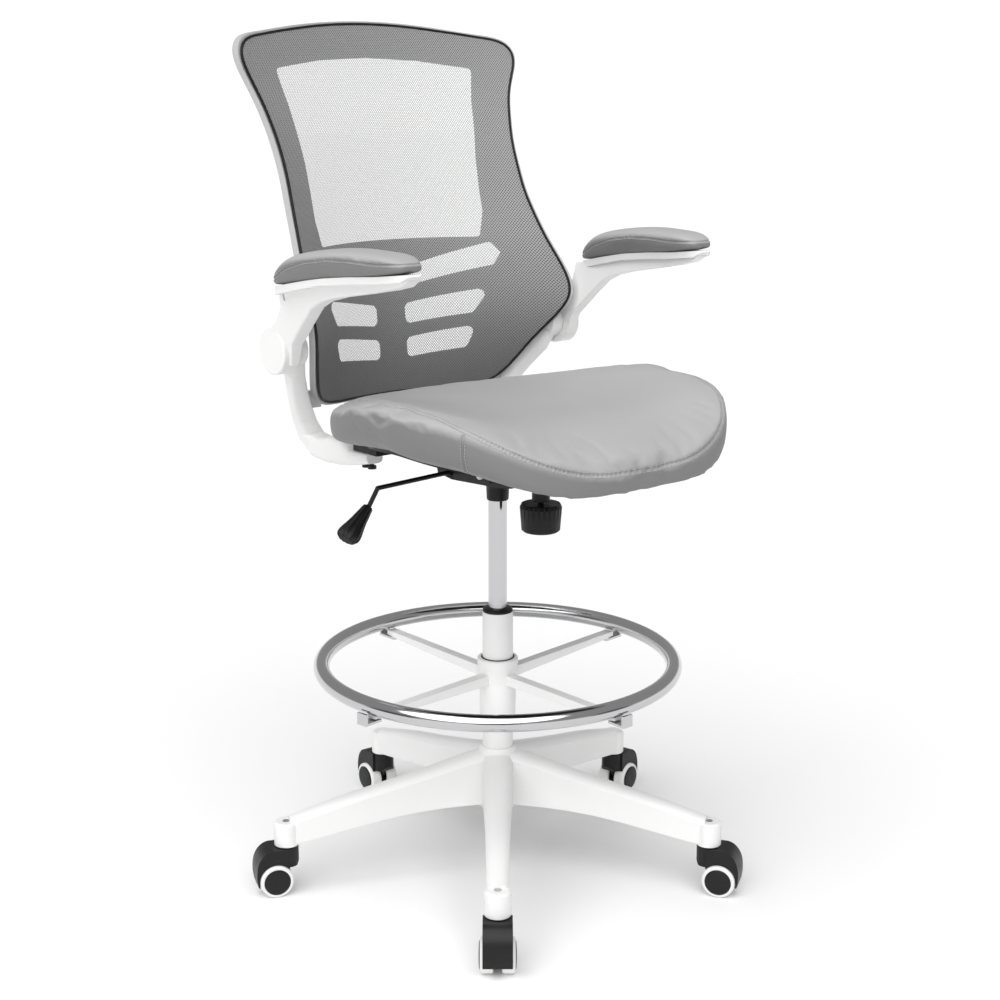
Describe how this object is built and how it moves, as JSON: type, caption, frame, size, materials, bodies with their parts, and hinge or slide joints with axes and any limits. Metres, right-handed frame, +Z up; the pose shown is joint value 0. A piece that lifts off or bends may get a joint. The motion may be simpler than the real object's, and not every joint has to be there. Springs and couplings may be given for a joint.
{
  "type": "drafting chair",
  "caption": "Tall drafting chair with mesh back, flip-up padded arms, chrome foot ring and a star base on twin-wheel casters.",
  "frame": {"origin": "on the floor, on the axis of the gas-lift column", "axes": "+Z up, the sitter faces -Y, the sitter's left is +X"},
  "size_m": [0.7335, 0.7067, 1.2665],
  "materials": {
    "white_nylon": "satin",
    "back_frame_plastic": "satin",
    "column_paint": "satin",
    "black_plastic": "satin",
    "black_steel": "satin",
    "steel": "machined",
    "chrome_tube": "polished",
    "grey_leather": "smooth",
    "grey_panel": "matte",
    "grey_mesh": "woven mesh",
    "caster_black": "satin",
    "caster_tread": "smooth"
  },
  "bodies": {
    "base": {"base_star": "white_nylon", "caster_stems": "steel", "column_tube": "column_paint", "column_bushing": "black_plastic"},
    "gas_rod": {"piston_rod": "steel"},
    "control": {"piston_cylinder": "chrome_tube", "mechanism_housing": "black_steel", "tilt_pivot_pin": "steel"},
    "tension": {"tension_knob": "black_plastic"},
    "lock": {"lock_slider": "black_steel"},
    "lever": {"lever_rod": "black_steel", "lever_grip": "black_plastic"},
    "seat": {"seat_plate": "black_steel", "seat_pan": "black_plastic", "seat_cushion": "grey_leather", "seat_bolts": "black_steel", "back_frame": "back_frame_plastic", "back_panel": "grey_panel", "back_mesh": "grey_mesh", "arm_bracket_left": "white_nylon", "arm_bracket_right": "white_nylon", "arm_pivot_pins": "steel"},
    "arm_left": {"arm_left": "white_nylon", "arm_pad_left": "grey_leather"},
    "arm_right": {"arm_right": "white_nylon", "arm_pad_right": "grey_leather"},
    "ring_collet": {"foot_ring_collet": "black_plastic"},
    "ring": {"foot_ring": "chrome_tube", "foot_ring_spider": "white_nylon", "foot_ring_clips": "chrome_tube"},
    "caster_1": {"caster_1_hood": "caster_black", "caster_1_axle": "steel"},
    "caster_1_wheel_left": {"caster_1_wheel_left": "caster_black", "caster_1_tread_left": "caster_tread"},
    "caster_1_wheel_right": {"caster_1_wheel_right": "caster_black", "caster_1_tread_right": "caster_tread"},
    "caster_2": {"caster_2_hood": "caster_black", "caster_2_axle": "steel"},
    "caster_2_wheel_left": {"caster_2_wheel_left": "caster_black", "caster_2_tread_left": "caster_tread"},
    "caster_2_wheel_right": {"caster_2_wheel_right": "caster_black", "caster_2_tread_right": "caster_tread"},
    "caster_3": {"caster_3_hood": "caster_black", "caster_3_axle": "steel"},
    "caster_3_wheel_left": {"caster_3_wheel_left": "caster_black", "caster_3_tread_left": "caster_tread"},
    "caster_3_wheel_right": {"caster_3_wheel_right": "caster_black", "caster_3_tread_right": "caster_tread"},
    "caster_4": {"caster_4_hood": "caster_black", "caster_4_axle": "steel"},
    "caster_4_wheel_left": {"caster_4_wheel_left": "caster_black", "caster_4_tread_left": "caster_tread"},
    "caster_4_wheel_right": {"caster_4_wheel_right": "caster_black", "caster_4_tread_right": "caster_tread"},
    "caster_5": {"caster_5_hood": "caster_black", "caster_5_axle": "steel"},
    "caster_5_wheel_left": {"caster_5_wheel_left": "caster_black", "caster_5_tread_left": "caster_tread"},
    "caster_5_wheel_right": {"caster_5_wheel_right": "caster_black", "caster_5_tread_right": "caster_tread"}
  },
  "joints": [
    {"name": "caster_1_swivel", "type": "hinge", "parent": "base", "child": "caster_1", "pos_m": [-0.20453, -0.25898, 0.06], "axis": [0, 0, 1], "continuous": true},
    {"name": "caster_1_roll_left", "type": "hinge", "parent": "caster_1", "child": "caster_1_wheel_left", "pos_m": [-0.21692, -0.27467, 0.025], "axis": [0.7848, -0.6198, 0], "continuous": true},
    {"name": "caster_1_roll_right", "type": "hinge", "parent": "caster_1", "child": "caster_1_wheel_right", "pos_m": [-0.21692, -0.27467, 0.025], "axis": [0.7848, -0.6198, 0], "continuous": true},
    {"name": "caster_2_swivel", "type": "hinge", "parent": "base", "child": "caster_2", "pos_m": [0.1831, -0.27454, 0.06], "axis": [0, 0, 1], "continuous": true},
    {"name": "caster_2_roll_left", "type": "hinge", "parent": "caster_2", "child": "caster_2_wheel_left", "pos_m": [0.1942, -0.29118, 0.025], "axis": [0.832, 0.5548, 0], "continuous": true},
    {"name": "caster_2_roll_right", "type": "hinge", "parent": "caster_2", "child": "caster_2_wheel_right", "pos_m": [0.1942, -0.29118, 0.025], "axis": [0.832, 0.5548, 0], "continuous": true},
    {"name": "caster_3_swivel", "type": "hinge", "parent": "base", "child": "caster_3", "pos_m": [0.31769, 0.0893, 0.06], "axis": [0, 0, 1], "continuous": true},
    {"name": "caster_3_roll_left", "type": "hinge", "parent": "caster_3", "child": "caster_3_wheel_left", "pos_m": [0.33694, 0.09471, 0.025], "axis": [-0.2706, 0.9627, 0], "continuous": true},
    {"name": "caster_3_roll_right", "type": "hinge", "parent": "caster_3", "child": "caster_3_wheel_right", "pos_m": [0.33694, 0.09471, 0.025], "axis": [-0.2706, 0.9627, 0], "continuous": true},
    {"name": "caster_4_swivel", "type": "hinge", "parent": "base", "child": "caster_4", "pos_m": [0.01324, 0.32973, 0.06], "axis": [0, 0, 1], "continuous": true},
    {"name": "caster_4_roll_left", "type": "hinge", "parent": "caster_4", "child": "caster_4_wheel_left", "pos_m": [0.01405, 0.34972, 0.025], "axis": [-0.9992, 0.0401, 0], "continuous": true},
    {"name": "caster_4_roll_right", "type": "hinge", "parent": "caster_4", "child": "caster_4_wheel_right", "pos_m": [0.01405, 0.34972, 0.025], "axis": [-0.9992, 0.0401, 0], "continuous": true},
    {"name": "caster_5_swivel", "type": "hinge", "parent": "base", "child": "caster_5", "pos_m": [-0.3095, 0.11449, 0.06], "axis": [0, 0, 1], "continuous": true},
    {"name": "caster_5_roll_left", "type": "hinge", "parent": "caster_5", "child": "caster_5_wheel_left", "pos_m": [-0.32826, 0.12143, 0.025], "axis": [-0.3469, -0.9379, 0], "continuous": true},
    {"name": "caster_5_roll_right", "type": "hinge", "parent": "caster_5", "child": "caster_5_wheel_right", "pos_m": [-0.32826, 0.12143, 0.025], "axis": [-0.3469, -0.9379, 0], "continuous": true},
    {"name": "seat_swivel", "type": "hinge", "parent": "base", "child": "gas_rod", "pos_m": [0, 0, 0.106], "axis": [0, 0, 1], "continuous": true},
    {"name": "seat_height", "type": "slide", "parent": "gas_rod", "child": "control", "axis": [0, 0, 1], "range_m": [-0.15, 0.045]},
    {"name": "seat_tilt", "type": "hinge", "parent": "control", "child": "seat", "pos_m": [0, -0.04, 0.631], "axis": [-1, 0, 0], "range_deg": [0, 12], "stiffness_Nm_per_rad": 120, "springref_deg": -20.05},
    {"name": "tilt_tension", "type": "hinge", "parent": "control", "child": "tension", "pos_m": [0, -0.1, 0.56], "axis": [0, 0, 1], "range_deg": [-720, 720]},
    {"name": "tilt_lock", "type": "slide", "parent": "control", "child": "lock", "axis": [-1, 0, 0], "range_m": [0, 0.012]},
    {"name": "lever_lift", "type": "hinge", "parent": "lock", "child": "lever", "pos_m": [-0.042, 0.042, 0.619], "axis": [0, 1, 0], "range_deg": [0, 8], "stiffness_Nm_per_rad": 2, "springref_deg": -20.05},
    {"name": "arm_flip_left", "type": "hinge", "parent": "seat", "child": "arm_left", "pos_m": [0.26, 0.172, 0.8025], "axis": [-1, 0, 0], "range_deg": [0, 95]},
    {"name": "arm_flip_right", "type": "hinge", "parent": "seat", "child": "arm_right", "pos_m": [-0.26, 0.172, 0.8025], "axis": [-1, 0, 0], "range_deg": [0, 95]},
    {"name": "foot_ring_height", "type": "slide", "parent": "base", "child": "ring_collet", "axis": [0, 0, 1], "range_m": [-0.03, 0.045]},
    {"name": "foot_ring_turn", "type": "hinge", "parent": "ring_collet", "child": "ring", "pos_m": [0, 0, 0.3], "axis": [0, 0, 1], "continuous": true}
  ]
}
